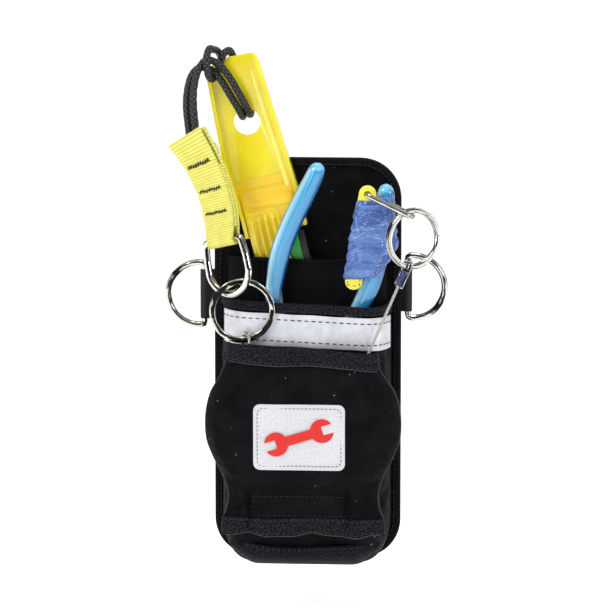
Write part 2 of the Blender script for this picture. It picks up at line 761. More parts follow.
CORD_RADIUS = 1.1
CORD_X = 43
LEFT_CORD = [(-CORD_X, 55, -150), (-CORD_X, 55, -135), (-CORD_X, 55, -120), (-CORD_X, 55, -102.4)]
RIGHT_CORD = [
    (CORD_X, 55, -150), (CORD_X, 55, -135), (CORD_X, 55, -120), (CORD_X, 55, -111), (CORD_X + 1, 54.8, -107),
    (CORD_X + 7, 53, -93.3), (CORD_X + 14, 50.9, -77.1), (CORD_X + 21, 48.8, -60.9), (70.6, 46.7, -45.6),
]
PARACORD_RADIUS = 2.8
PARACORD = [
    (-85.4, 39.2, 60), (-87.3, 36.5, 72), (-89, 33.5, 86), (-88.5, 30.5, 99), (-85.5, 27, 110),
    (-79.5, 23.6, 115.5), (-71.5, 22.3, 113.6), (-64, 21.8, 106), (-57.5, 20.4, 95), (-51.8, 17.8, 85),
    (-48.8, 9.5, 77.1), (-49.4, 3.2, 82), (-54, 2.8, 94), (-60, 2.8, 108), (-65.4, 2.2, 120.8),
    (-67.6, 9.2, 126.6), (-70, 17, 128.5), (-72.5, 25, 129.5), (-74, 31, 123.5), (-73.5, 31, 114),
    (-71.5, 25.5, 107.2), (-68, 16.6, 109.2), (-66, 13.2, 116), (-63.4, 12.4, 123.8), (-59.5, 7, 127),
    (-56.5, 2.8, 122), (-53.5, 2.8, 110), (-48.5, 2.8, 95), (-43.6, 3.2, 83), (-43.2, 9.5, 78.8),
    (-45.6, 17.4, 86), (-51, 21.8, 97), (-58, 23.3, 109), (-66, 24.6, 118.6), (-75, 26.6, 121.2),
    (-80.6, 31.5, 113.5), (-83.3, 35, 101), (-83.3, 38, 88), (-81.8, 40.5, 74), (-80.4, 42.5, 62),
]


def braided(name, route, radius, strands, lay, per_mm, material, body, replaces, sides=16):
    """A braided cord: strands wound both ways round it stand a little proud of its surface."""
    rough = [at(*p) for p in route]
    length = path_length(spline(rough, 200))
    count = int(length * per_mm) + 2
    path = spline(rough, count)

    def section(t, i):
        along = t * length
        ends = min(1.0, 0.55 + min(along, length - along) / (1.2 * radius))
        points = []
        for k in range(sides):
            angle = 2 * math.pi * k / sides
            one = math.cos(strands * angle + 2 * math.pi * along / lay)
            other = math.cos(strands * angle - 2 * math.pi * along / lay)
            r = radius * ends * (0.97 + 0.045 * max(one, other))
            points.append((r * math.cos(angle), r * math.sin(angle)))
        return points

    made = swept(name, path, section, material, body, replaces=replaces)
    return made, path, length


def metres(points):
    return [tuple(p * MM) for p in points]


left_cord, left_path, left_length = braided(
    "left_retractor_cord", LEFT_CORD, CORD_RADIUS, 3, 2.4, 3, WHITE_BRAID, None, "left_lanyard_cord", 12)
right_cord, right_path, right_length = braided(
    "right_retractor_cord", RIGHT_CORD, CORD_RADIUS, 3, 2.4, 3, WHITE_BRAID, None, "right_lanyard_cord", 12)
knife_cord, knife_path, knife_length = braided(
    "braided_tether_cord", PARACORD, PARACORD_RADIUS, 4, 7.0, 1.4, BLACK_BRAID, "knife", "knife_cord")


# ---------------------------------------------------------------- metal rings and swivels

def d_ring_path(half, leg, corner=3.0, bulge=0.0):
    """A D: a bar on top at z = 0, two legs that may bulge, and a half circle."""
    bar = half - corner
    leg_heights = (-corner, -(corner + leg) / 2) if leg > corner + 1 else ()
    points = [Vector((-bar + 2 * bar * k / 12, 0, 0)) for k in range(13)]
    points.extend(arc(bar, -corner, corner, 90, -90, 6)[1:-1])
    points.extend(Vector((half, 0, z)) for z in leg_heights)
    points.extend(arc(0, -leg, half, 0, -180, 32))
    points.extend(Vector((-half, 0, z)) for z in reversed(leg_heights))
    points.extend(arc(-bar, -corner, corner, 180, -90, 6)[1:-1])
    for point in points:
        point.x *= 1 + bulge * math.sin(math.pi * min(1.0, max(0.0, -point.z / (leg + half))))
    return even(points + [points[0]], 110, closed=True)


SIDE_RINGS = {"left": (-1, -79, -60), "right": (1, 75.5, -53)}
RING_BAR_DEPTH = -3.05
for side_name, (side, bar_x, height) in SIDE_RINGS.items():
    wire(
        f"{side_name}_ring_wire", d_ring_path(24, 4), 2.5, f"{side_name}_ring", CHROME,
        replaces=f"{side_name}_d_ring",
        place=turned(bar_x, RING_BAR_DEPTH, height, (side * -math.pi / 2, "Y")),
    )

TETHER_PLACE = turned(-59.8, 57, -10, (math.radians(-34), "Z"))
TETHER_TILT = math.radians(14)
wire(
    "tether_ring_wire", d_ring_path(17, 24, bulge=0.13), 2.7, "tether_ring", CHROME, replaces="tether_d_ring",
    place=TETHER_PLACE @ Matrix.Rotation(-TETHER_TILT, 4, "Y"),
)

LINK_LEAN = math.atan2(16.2, 33.5)
wire(
    "strap_ring_wire", d_ring_path(5.8, 31.9, 2.6), 1.9, "strap_ring", CHROME, replaces="pliers_tether_ring",
    place=turned(47.6, 47.6, 24, (-math.pi / 2 + LINK_LEAN, "Y"), (math.pi / 2, "Z")),
    sides=14,
)


def split_ring(name, node, body, place, outer):
    """A split ring: two turns of flat wire, one behind the other, with a step between them."""
    radial, thick = 4.2, 1.8
    middle = outer - radial / 2
    turn_steps = 96
    points = []
    for k in range(2 * turn_steps - 6):
        angle = 2 * math.pi * k / turn_steps
        step = smoothstep(0.93, 1.07, k / turn_steps)
        points.append(
            Vector((middle * math.cos(angle), (step - 0.5) * (thick + 0.05), middle * math.sin(angle))))
    count = len(points)

    def section(t, i):
        tip = min(1.0, 0.45 + 0.14 * min(i, count - 1 - i))
        return rounded_box(radial / 2 * tip, thick / 2 * min(1, 0.3 + tip), 3.2, 20)

    return swept(name, points, section, CHROME, body, hint=BACKWARD, replaces=node, place=place)


split_ring(
    "left_key_ring", "left_split_ring", "left_link",
    turned(-45.5, 57.5, -63.3, (math.radians(12), "Z"), (math.radians(6), "X")), 24.7)
split_ring(
    "right_key_ring", "right_split_ring", "right_link",
    turned(81.5, 43.7, -9.5, (math.radians(35), "Z")), 23.3)


def lathe(name, profile, material, body, sides=28, **options):
    """Turns a profile of (radius, height) about Z."""
    verts = []
    for radius, height in profile:
        for k in range(sides):
            angle = 2 * math.pi * k / sides
            verts.append((radius * math.cos(angle), radius * math.sin(angle), height))
    return piece(name, verts, tube_faces(len(profile), sides), material, body, **options)


def swivel(side_name, place, half):
    body, reach = f"{side_name}_swivel", 17.5
    loop = [Vector((-half + 0.6, 0, 0))]
    loop.extend(Vector((-half, 0, z)) for z in (1.2, 5, 10, 15))
    loop.extend(arc(0, reach, half, 180, -180, 12)[1:-1])
    loop.extend(Vector((half, 0, z)) for z in (15, 10, 5, 1.2))
    loop.append(Vector((half - 0.6, 0, 0)))
    wire(
        f"{side_name}_bail_wire", spline(loop, 72, closed=True), 1, body, CHROME, place=place,
        replaces=f"{side_name}_swivel_bail", sides=12,
    )
    profile = [
        (0.9, 1.3), (1.9, 1.3), (2.3, 1.7), (2.45, 2.6), (2.6, 3.0), (2.6, 3.7), (2.2, 4.1),
        (2.2, 9.0), (2.6, 9.4), (2.6, 10.1), (2.4, 10.7), (2.2, 11.3), (1.7, 11.75), (0.5, 11.8),
    ]
    lathe(
        f"{side_name}_swivel_sleeve", profile, SWIVEL_BLUE, body, place=place,
        replaces=f"{side_name}_swivel_barrel")
    collar = [(1.1, -1.0), (2.0, -1.0), (2.3, -0.7), (2.3, 0.7), (2.0, 1.0), (1.1, 1.0)]
    lathe(f"{side_name}_swivel_collar", collar, CHROME, body, 24, place=place)


CORD_LEAN = math.atan2(27.9, 64.5)
swivel("left", turned(-43, 55, -103, (-1, "Z")), 5.2)
swivel("right", turned(70.9, 46.6, -45, (CORD_LEAN, "Y"), (-0.89, "Z")), 4.2)


# ---------------------------------------------------------------- back panel and what is sewn behind it

PANEL_HALF, PANEL_TOP, PANEL_BOTTOM = 71, 46, -262
CORNER_TOP, CORNER_BOTTOM = 31, 30


def panel_half_width(z, inset=0.0):
    """Half the width of the back panel at a height."""
    half = narrowed(PANEL_HALF - inset, CORNER_TOP - inset, z - (PANEL_TOP - CORNER_TOP))
    return narrowed(half, CORNER_BOTTOM - inset, PANEL_BOTTOM + CORNER_BOTTOM - z)


def panel_outline(inset, count, depth):
    """The panel's outline, moved in by inset."""
    points = rounded_outline(
        PANEL_HALF - inset, PANEL_BOTTOM + inset, PANEL_TOP - inset, CORNER_BOTTOM - inset,
        CORNER_TOP - inset,
        depth, 16)
    return even(points + [points[0]], count, closed=True)


def eased(v):
    """Spreads rows so that they are closer at both ends."""
    return 0.5 - 0.5 * squared(math.cos(math.pi * v), 1 / 1.6)


def panel_surface(u, v):
    z = PANEL_TOP - 1.5 - (PANEL_TOP - PANEL_BOTTOM - 3) * eased(v)
    half = panel_half_width(z, 1.5)
    x = (2 * u - 1) * half
    soft = 1 - smoothstep(0.86, 1.0, abs(2 * u - 1))
    relief = wobble((x, 0, z), 30, 0.9, 3.1) + wobble((x, 0, z), 11, 0.35, 7.7)
    return at(x, 5 + relief * soft * min(1, 4 * v, 4 * (1 - v)), z)


cloth_sheet(
    "padded_back_panel", panel_surface, 44, 84, 5, NEOPRENE, "pouch", (140, 305), replaces="back_panel",
)


def folded_tape(half_a, half_b, wall, opening=28, power=3, sides=26):
    """A C section, open on its negative side, as tape folded over an edge."""
    span = 180 - opening
    angles = [math.radians(-span + 2 * span * k / (sides - 1)) for k in range(sides)]

    def edge(a, b):
        return [(a * squared(math.cos(n), 2 / power), b * squared(math.sin(n), 2 / power)) for n in angles]

    return edge(half_a, half_b) + edge(half_a - wall, half_b - wall)[::-1]


def binding_section(t, i):
    swell = 1 + 0.035 * math.sin(i * 0.9) * math.sin(i * 0.23)
    return [(a, b * swell) for a, b in folded_tape(3.25, 3.9, 1.1)]


binding_path = panel_outline(3.25, 300, 2.5)
swept(
    "bound_edge", binding_path, binding_section, BINDING, "pouch", closed=True,
    fixed_up=True, replaces="edge_binding",
)
binding_seam = panel_outline(5.1, 400, 6.25)
rear_seam = panel_outline(5.1, 400, -1.25)
stitches(
    "binding_stitches",
    [(binding_seam + [binding_seam[0]], FORWARD), (rear_seam + [rear_seam[0]], BACKWARD)],
    GREY_THREAD, "pouch", length=2.4, gap=1.3, radius=0.32,
)


def polyline(points, count):
    """Points along straight runs with softened corners."""
    points = [Vector(p) for p in points]
    soft = [points[0]]
    for before, corner, after in zip(points, points[1:], points[2:]):
        for k in range(5):
            t = k / 4
            start, end = corner.lerp(before, 0.22), corner.lerp(after, 0.22)
            soft.append(start.lerp(corner, t).lerp(corner.lerp(end, t), t))
    soft.append(points[-1])
    return even(soft, count)


loop_profile = polyline(
    [(0, -2.8, 38.5), (0, -2.8, 32), (0, -9, 27), (0, -9, -27), (0, -2.8, -32), (0, -2.8, -38.5)], 60)


def belt_loop_surface(u, v):
    place = loop_profile[round(v * 59)]
    x = 38 * (1 - 2 * u)
    return at(x, place.y - wobble((x, 0, place.z), 22, 0.25, 2) * 0.6, place.z)


cloth_sheet(
    "belt_loop_webbing", belt_loop_surface, 24, 59, 2.3, BLACK_WEBBING, "pouch", (76, 84),
    replaces="belt_loop")


def back_row(depth, *places):
    """A straight row of stitches on a rear face, through (x, z) places."""
    return [at(x, depth, z) for x, z in places], BACKWARD


loop_rows = [back_row(-2.9, (-36, z), (36, z)) for z in (37, 34.4, -34.4, -37)]
for x in (-36, 36):
    loop_rows.extend(back_row(-2.9, (x, z), (x, z - 4)) for z in (38, -34))
stitches("belt_loop_stitches", loop_rows, GREY_THREAD, "pouch", radius=0.36)

RING_STRAP_HALF, RING_STRAP_TOP, RING_STRAP_BOTTOM = 56, -43, -81


def ring_strap_surface(u, v):
    x = RING_STRAP_HALF * (1 - 2 * u)
    z = RING_STRAP_TOP + (RING_STRAP_BOTTOM - RING_STRAP_TOP) * v
    return at(x, -4.2 + wobble((x, 0, z), 18, 0.2, 5), z)


cloth_sheet(
    "ring_strap_webbing", ring_strap_surface, 48, 18, 2.1, BLACK_WEBBING, "pouch", (38, 112),
    replaces="ring_strap")
strap_rows = [back_row(-4.3, (-54, z), (54, z)) for z in (-45, -79)]
strap_rows.extend(back_row(-4.3, (x, -46), (x, -78)) for x in (-53, -40, 40, 53))
for left, right in ((-53, -40), (40, 53)):
    strap_rows.append(back_row(-4.3, (left, -46), (right, -78)))
    strap_rows.append(back_row(-4.3, (right, -46), (left, -78)))
stitches("ring_strap_stitches", strap_rows, GREY_THREAD, "pouch", radius=0.36)


def ring_tab(name, side, bar_x, height, node):
    """A short webbing folded round the ring's straight bar, with both ends behind the panel."""
    root = side * (RING_STRAP_HALF + 0.3)
    profile = [Vector((root, 4.15, 0)), Vector((bar_x - side * 7, 4.6, 0))]
    for k in range(17):
        angle = math.radians(100 - 200 * k / 16)
        profile.append(Vector((bar_x + side * 3.6 * math.cos(angle), 3.05 + 3.6 * math.sin(angle), 0)))
    profile.extend([Vector((bar_x - side * 7, 1.6, 0)), Vector((root, 1.95, 0))])
    run = spline(profile, 40)
    ordered = run if side > 0 else run[::-1]

    def surface(u, v):
        place = ordered[round((1 - u) * 39)]
        z = height + 19 * (1 - 2 * v)
        return Vector((place.x, place.y + wobble((place.x, 9, z), 9, 0.15), z))

    cloth_sheet(name, surface, 39, 20, 1.05, BLACK_WEBBING, "pouch", (38, 48), replaces=node)
    seam = side * (abs(bar_x) - 9)
    stitches(
        f"{name}_stitches", [([at(seam, -0.9, height - 17), at(seam, -0.9, height + 17)], FORWARD),
                             ([at(seam, -5.0, height - 17), at(seam, -5.0, height + 17)], BACKWARD)],
        GREY_THREAD, "pouch", radius=0.36,
    )


for side_name, (side, bar_x, height) in SIDE_RINGS.items():
    ring_tab(f"{side_name}_tab_webbing", side, bar_x, height, f"{side_name}_ring_tab")


# ---------------------------------------------------------------- the two pockets

PANEL_FRONT = 5.3
POCKET_HALF, POCKET_DEPTH = 64, 48


def pocket_plan(half, depth, count):
    """A pocket wall seen from above: straight across the front, rounded back to the panel at both sides."""
    points = []
    for k in range(25):
        x, d = bezier(
            (-half, PANEL_FRONT), (-half, 0.6 * depth), (5 - half, depth), (24 - half, depth), k / 24)
        points.append(Vector((x, d, 0)))
    points.extend(Vector((-p.x, p.y, 0)) for p in reversed(points[:25]))
    return even(points, count)


def front_pocket_rows(count):
    """(height, half width, depth) for each row, down the wall and back under the floor."""
    rows = []
    for k in range(count):
        z = -67 - 157 * k / (count - 1)
        rows.append((z, POCKET_HALF, POCKET_DEPTH))
    for k in range(1, 11):
        depth, z = bezier((POCKET_DEPTH, -224), (POCKET_DEPTH, -250), (43, -262.5), (26, -261.5), k / 10)
        over = 19 / 34 * max(0.0, -228 - z)
        rows.append((z, 45 + math.sqrt(max(0.0, 19 ** 2 - over ** 2)), depth))
    rows.extend([(-261, 44, 17), (-259, 43, 10), (-258, 42, 6)])
    return rows


def lean(x):
    """The mouth and the band sit a little lower on the right."""
    return -0.045 * x


POCKET_COLUMNS = 120
pocket_rows = front_pocket_rows(56)
pocket_plans = [pocket_plan(half, depth, POCKET_COLUMNS + 1) for _, half, depth in pocket_rows]


def fold_line(x):
    """Height of the soft fold across the pocket's bottom."""
    return -240 - 4.5 * (1 - min(1.0, (x / 52) ** 2))


def front_pocket_surface(u, v):
    row = round(v * (len(pocket_rows) - 1))
    z = pocket_rows[row][0]
    place = pocket_plans[row][round(u * POCKET_COLUMNS)]
    x, depth = place.x, place.y
    front = smoothstep(8, 30, depth)
    relief = wobble((x, depth, z), 26, 1.1, 1.3) + wobble((x, depth, z), 9, 0.3, 4.1)
    fold = math.exp(-((z - fold_line(x)) / 2.2) ** 2) * (1 - smoothstep(44, 58, abs(x)))
    puff = math.exp(-((z - fold_line(x) - 6) / 4.5) ** 2) * (1 - smoothstep(40, 58, abs(x)))
    shift = front * (relief * 0.7 - 4.2 * fold + 2.4 * puff) * smoothstep(-66, -72, z)
    covered = smoothstep(62, 58, abs(x)) * smoothstep(-96, -102, z) * smoothstep(-232, -228, z)
    allowed = 0.9 * (1 - covered) - 0.3 * covered + 2 * smoothstep(-232, -238, z)
    return at(x, depth + min(shift, allowed), z + lean(x) * smoothstep(-112, -70, z))


def pocket_held(place):
    """The pocket's wall is held by its tapes and the retractors' plate, and where it is sewn to the panel."""
    plate = smoothstep(63, 60, abs(place.x)) * smoothstep(40, 45, -place.y)
    return max(
        plate, smoothstep(-98, -93, place.z), smoothstep(22, 12, -place.y), smoothstep(-232, -238, place.z))


cloth_sheet(
    "front_pocket_wall", front_pocket_surface, POCKET_COLUMNS, len(pocket_rows) - 1, 2.3, NEOPRENE, "pouch",
    (190, 215), held=pocket_held, replaces="front_pocket",
)


def gusset_surface(u, v):
    """The woven gusset under the fold, sewn over the pocket's floor."""
    x = 57 * (2 * u - 1)
    low, high = fold_line(x) - 1.2, -262.8 + 10 * max(0.0, (abs(x) - 34) / 23) ** 2
    z = low + (high - low) * v
    wall = 48 - 2.4 * (1 - v) ** 4 - 20 * max(0.0, (v - 0.35) / 0.65) ** 2.2
    ends = 13 * smoothstep(38, 60, abs(x))
    return at(x, wall - ends + 1.1 + 0.5 * math.sin(x / 7.5) * (1 - v), z + 0.5 * math.sin(x / 11) * (1 - v))


cloth_sheet("pocket_floor_gusset", gusset_surface, 90, 16, 0.9, TWILL, "pouch", (114, 30))
stitches(
    "gusset_stitches", [
        ([gusset_surface(k / 90, 0.12) + Vector((0, -0.2, 0)) for k in range(6, 85)], FORWARD)],
    GREY_THREAD, "pouch", length=2.5, gap=1.4, radius=0.34,
)

REAR_COLUMNS = 90
rear_plan = pocket_plan(60.5, 23, REAR_COLUMNS + 1)


def rear_pocket_surface(u, v):
    place = rear_plan[round(u * REAR_COLUMNS)]
    closing = smoothstep(0.93, 1.0, v)
    z = -30 - 102 * min(1.0, v / 0.97)
    depth = PANEL_FRONT + (place.y - PANEL_FRONT) * (1 - 0.93 * closing)
    sag = 0.8 * wobble((place.x, 0, z), 24, 1.0, 8) * (1 - closing) * smoothstep(6, 14, depth)
    dip = 1.6 * math.exp(-((place.x - 12) / 26) ** 2) * (1 - smoothstep(0.0, 0.25, v))
    return at(place.x, depth + min(0.6, sag), z - dip)


cloth_sheet(
    "knit_rear_pocket", rear_pocket_surface, REAR_COLUMNS, 44, 1.9, KNIT, "pouch", (150, 102),
    replaces="rear_pocket",
)
rear_hem = [
    rear_pocket_surface(k / REAR_COLUMNS, 0) + Vector((0, 0.95, 0)) for k in range(2, REAR_COLUMNS - 1)]
swept(
    "rear_pocket_hem", even(rear_hem, 110), lambda t, i: rounded_box(1.35, 2.2, 3, 18), BINDING, "pouch",
    hint=(0, 0, 1), fixed_up=True,
)


def offset_plan(half, depth, count, keep):
    """The pocket's plan without its last few millimetres at the back."""
    return [p for p in pocket_plan(half, depth, count) if p.y > keep]


mouth_plan = offset_plan(POCKET_HALF - 1.2, POCKET_DEPTH - 1.2, 260, 8.2)
mouth_path = [Vector((p.x, -p.y, -63.1 + lean(p.x) + wobble((p.x, 0, 0), 30, 0.3))) for p in mouth_plan]


def mouth_section(t, i):
    swell = 1 + 0.05 * math.sin(i * 0.7) * math.sin(i * 0.19)
    return [(b * swell, a) for a, b in folded_tape(3.6, 2.05, 0.8, 20, 3.4)]


swept(
    "mouth_tape", mouth_path, mouth_section, TWILL, "pouch", hint=(0, 0, 1), fixed_up=True,
    replaces="mouth_binding",
)


def along_wall(out, z, keep=9.5):
    """A line on the front pocket's wall, out millimetres in front of it."""
    return [
        at(p.x, p.y, z + lean(p.x)) for p in offset_plan(POCKET_HALF + out, POCKET_DEPTH + out, 240, keep)]


def away_from_wall(place):
    x, depth = place.x, -place.y
    rounding = 24
    past = abs(x) - (POCKET_HALF - rounding)
    if past <= 0:
        return Vector(FORWARD)
    turn = past / rounding * math.pi / 2
    return Vector((math.copysign(math.sin(turn), x), -math.cos(turn), 0))


stitches(
    "mouth_stitches", [(along_wall(0.95, -65.4), away_from_wall)], GREY_THREAD, "pouch", length=2.4, gap=1.4,
    radius=0.32)

BAND_TOP, BAND_BOTTOM = -67.5, -92.5
BAND_COLUMNS = 150
band_plan = [Vector((p.x, p.y, 0)) for p in offset_plan(POCKET_HALF + 1.1, POCKET_DEPTH + 1.1, 320,
22) if p.x > 0 or p.y > 34]
band_plan = even(band_plan, BAND_COLUMNS + 1)


def band_surface(u, v):
    place = band_plan[round(u * BAND_COLUMNS)]
    z = BAND_TOP + (BAND_BOTTOM - BAND_TOP) * v
    ripple = 0.35 * wobble((place.x * 1.6, 0, z * 0.5), 9, 1.0, 6) + 0.3 * wobble((place.x, 0, z), 22, 1.0, 2)
    return at(
        place.x, place.y + 0.1 + ripple * min(1, 6 * v, 6 * (1 - v)),
        z + lean(place.x) + wobble((place.x, 0, 0), 16, 0.35, v))


cloth_sheet(
    "reflective_tape", band_surface, BAND_COLUMNS, 14, 0.7, REFLECTIVE, "pouch", (190, 25),
    replaces="reflective_band",
)
band_rows = [
    ([p for p in along_wall(1.35, z, 23) if p.x > 0 or p.y < -35], away_from_wall) for z in (-72.0, -88.2)]
stitches("band_stitches", band_rows, THREAD, "pouch", length=3.3, gap=1.9, radius=0.42)


# ---------------------------------------------------------------- retractor cover, its tapes and label

COVER_TOP, COVER_BOTTOM, COVER_BACK = -92, -235, 51.9
COVER_SIDE = by_height([
    (57, -92), (58.5, -105), (64, -115), (70.5, -126), (74, -142), (73.5, -160), (68.5, -174), (62, -187),
    (57.5, -200), (58, -212), (62, -224), (62, -235),
])
COVER_FRONT = by_height([
    (64, -92), (65, -105), (68.2, -119), (69, -130), (69, -160), (69, -178), (66.5, -188), (57.6, -203),
    (55.6, -216), (55.6, -235),
])


def look_up(curve, z):
    """The first coordinate of a falling curve at a height."""
    z = min(curve[0].z, max(curve[-1].z, z))
    for a, b in zip(curve, curve[1:]):
        if b.z <= z:
            t = (a.z - z) / ((a.z - b.z) or 1)
            return a.x + (b.x - a.x) * t
    return curve[-1].x


def cover_depth(u, z):
    """Depth of the cover's face, with u from -1 at the left edge to 1 at the right edge."""
    front = look_up(COVER_FRONT, z)
    shoulder = max(0.0, 1 - abs(u) ** 8) ** (1 / 2.2)
    depth = COVER_BACK + (front - COVER_BACK) * shoulder
    half = look_up(COVER_SIDE, z)
    x = u * half
    top_sag = smoothstep(-121, -97, z) * math.exp(-(x / 17) ** 2)
    between = 1.8 * math.exp(-(x / 9) ** 2) * smoothstep(-190, -170, z) * smoothstep(-108, -124, z)
    dome = 0.9 * math.exp(-(((abs(x) - 31.5) / 20) ** 2 + ((z + 150) / 22) ** 2))
    pull = 1.6 * math.exp(-((z + 196 + 5 * math.cos(x / 24)) / 4.5) ** 2)
    beside = math.exp(-((abs(x + 3.5) - 36.5) / 2.0) ** 2) * smoothstep(-196, -204, z)
    patch = smoothstep(36.5, 33.5, abs(x + 3.5)) * smoothstep(-201.5, -204.5, z) * smoothstep(-223.5, -221, z)
    pull += 3.0 * beside - 1.3 * patch
    relief = wobble((x, 0, z), 24, 0.9, 11) + wobble((x, 0, z), 9, 0.25, 5)
    edge = 1 - smoothstep(0.9, 1.0, abs(u))
    calm = 0.4 + 0.6 * smoothstep(-232, -222, z)
    return depth - 7.5 * top_sag - between + dome + (relief - pull) * edge * calm


def cover_point(x, z, proud=0.0):
    return at(x, cover_depth(x / look_up(COVER_SIDE, z), z) + proud, z)


def cover_lean(x, z):
    return (1.2 + 1.4 * lean(x)) * smoothstep(-122, -98, z)


def cover_surface(u, v):
    z = COVER_TOP + (COVER_BOTTOM - COVER_TOP) * v
    across = 0.35 * (2 * u - 1) + 0.65 * math.sin((2 * u - 1) * math.pi / 2)
    x = across * look_up(COVER_SIDE, z)
    return at(x, cover_depth(across, z), z + cover_lean(x, z))


def cover_held(place):
    """How firmly the cover is held: fully under its tapes, label and hook patch, and at its edges."""
    x, z = place.x, place.z
    tapes = max(smoothstep(-110, -104, z), smoothstep(-217, -223, z))
    label = smoothstep(42, 36, abs(x + 2)) * smoothstep(32, 27, abs(z + 157))
    patch = smoothstep(42, 37, abs(x + 3.5)) * smoothstep(-198, -203, z)
    side = smoothstep(0.9, 0.97, abs(x) / look_up(COVER_SIDE, z))
    return max(tapes, label, patch, side)


cloth_sheet(
    "neoprene_cover", cover_surface, 96, 100, 2.2, NEOPRENE, "cover", (150, 150), held=cover_held,
    replaces="retractor_cover",
)
for side_name, side in (("left", -1), ("right", 1)):
    edge = [
        at(0.987 * side * look_up(COVER_SIDE, z), cover_depth(0.987, z), z + cover_lean(58 * side, z))
        for z in (-94 - 139 * k / 70 for k in range(71))
    ]
    swept(f"cover_{side_name}_cut_edge", edge, lambda t, i: circle(0.42, 10), CUT_EDGE, "cover")


def cover_strip(name, half, top, bottom, wave, node, proud=0.9):
    """A tape sewn across the cover, following its face, with wave(x, v) as (rise, lift) in millimetres."""
    def place_on(x, v, extra=0.0):
        rise, lift = wave(x, v)
        z = top + (bottom - top) * v
        place = cover_point(x * 0.985, max(COVER_BOTTOM, min(COVER_TOP, z)), proud + lift + extra)
        return Vector((x, place.y, z + rise + cover_lean(x, z)))
    cloth_sheet(
        name, lambda u, v: place_on(half * (2 * u - 1), v), 130, 14, 0.8, TWILL, "cover", (2 * half, 13),
        replaces=node)
    return lambda v: [place_on(half * 0.97 * (k / 60 - 1), v, 0.15) for k in range(121)]


def top_wave(x, v):
    return 0.6 * math.sin(x / 13) * (0.4 + v), 0.35 * math.sin(x / 8 + 2) * (1 - v)


def bottom_wave(x, v):
    """The lower tape is puckered, and its free edge curls."""
    rise = 0.6 * math.sin(x / 10.5 + 1) + v * (1.1 * math.sin(x / 8.2 + 0.4) + 0.6 * math.sin(x / 3.7))
    lift = 0.45 * math.sin(x / 5.1) * v + 0.5 * math.sin(x / 9.7 + 2) + 1.2 * v * smoothstep(50, 61, abs(x))
    return rise, max(-0.3, lift)


top_seam = cover_strip("cover_top_tape_cloth", 57, -92.3, -105.3, top_wave, "cover_top_tape")
bottom_seam = cover_strip("cover_bottom_tape_cloth", 61, -221.4, -234.6, bottom_wave, "cover_bottom_tape")
tape_rows = [(top_seam(0.87), FORWARD), (bottom_seam(0.14), FORWARD), (bottom_seam(0.86), FORWARD)]
stitches("cover_tape_stitches", tape_rows, GREY_THREAD, "cover", length=2.5, gap=1.4, radius=0.34)
for name, seam in (("cover_top_tape_edge", top_seam(0.99)), ("cover_bottom_tape_edge", bottom_seam(0.99))):
    swept(name, seam, lambda t, i: circle(0.36, 8), CUT_EDGE, "cover")


def closure_seam():
    """The stitched rectangle that holds the hook patch behind the flap."""
    left, right, top, bottom = -38, 33, -204.5, -219.5
    corners = [(left, top), (left, bottom), (right, bottom), (right, top), (left, top)]
    points = []
    for (x0, z0), (x1, z1) in zip(corners, corners[1:]):
        points.extend(cover_point(x0 + (x1 - x0) * k / 24, z0 + (z1 - z0) * k / 24, 0.05) for k in range(24))
    points.append(points[0])
    return points


stitches(
    "closure_stitches", [(closure_seam(), FORWARD)], THREAD, "cover", length=2.4, gap=1.4, radius=0.24)
refined("pocket_loop_strip", "pocket_loop_patch", HOOK_PILE, "pouch", 0.4)
refined("cover_hook_strip", "cover_hook_patch", HOOK_PILE, "cover", 0.4)

LABEL_X, LABEL_Z, LABEL_HALF_WIDTH, LABEL_HALF_HEIGHT, LABEL_CORNER = -2, -157, 34.5, 25, 5


def label_half_width(dz):
    return narrowed(LABEL_HALF_WIDTH, LABEL_CORNER, abs(dz) - (LABEL_HALF_HEIGHT - LABEL_CORNER))


def label_surface(u, v):
    dz = LABEL_HALF_HEIGHT * math.cos(math.pi * v)
    dx = label_half_width(dz) * (2 * u - 1)
    place = cover_point(LABEL_X + dx, LABEL_Z + dz)
    lift = 0.85 + 0.25 * math.sin(dx / 11 + 0.6) * math.cos(dz / 13)
    return Vector((place.x, min(-69.75, place.y - lift), place.z))


cloth_sheet(
    "label_cloth_patch", label_surface, 48, 36, 0.8, LABEL_CLOTH, "cover", (69, 50), replaces="label_patch")


def label_seam(inset):
    half_height, corner = LABEL_HALF_HEIGHT - inset, LABEL_CORNER - inset + 2
    points = rounded_outline(LABEL_HALF_WIDTH - inset, -half_height, half_height, corner, corner, 70.25, 8)
    return [p + at(LABEL_X, 0, LABEL_Z) for p in points + [points[0]]]


stitches(
    "label_stitches", [(label_seam(3.1), FORWARD)], LABEL_THREAD, "cover", length=2.1, gap=0.9,
    radius=0.38)
refined("label_spanner", "label_emblem", EMBLEM, "cover", 0.25, 3)


# ---------------------------------------------------------------- retractors behind the cover

refined("retractor_back_plate", "retractor_plate", BLACK_PLASTIC, "pouch", 0.8)
for side_name in ("left", "right"):
    refined(f"{side_name}_retractor_back", f"{side_name}_case_back", BLACK_PLASTIC, "pouch", 0.5)
    refined(f"{side_name}_retractor_front", f"{side_name}_case_front", BLACK_PLASTIC, "pouch", 1.6, 4)
    refined(f"{side_name}_retractor_eyelet", f"{side_name}_cord_guide", CHROME, "pouch", 0.4)
    for node, material in (
        ("axle", STEEL), ("mainspring", STEEL), ("spool", BLACK_PLASTIC), ("cord_winding", WOUND_CORD),
    ):
        cad_nodes[f"{side_name}_{node}"].data.materials.clear()
        cad_nodes[f"{side_name}_{node}"].data.materials.append(material)


# ---------------------------------------------------------------- cable knife

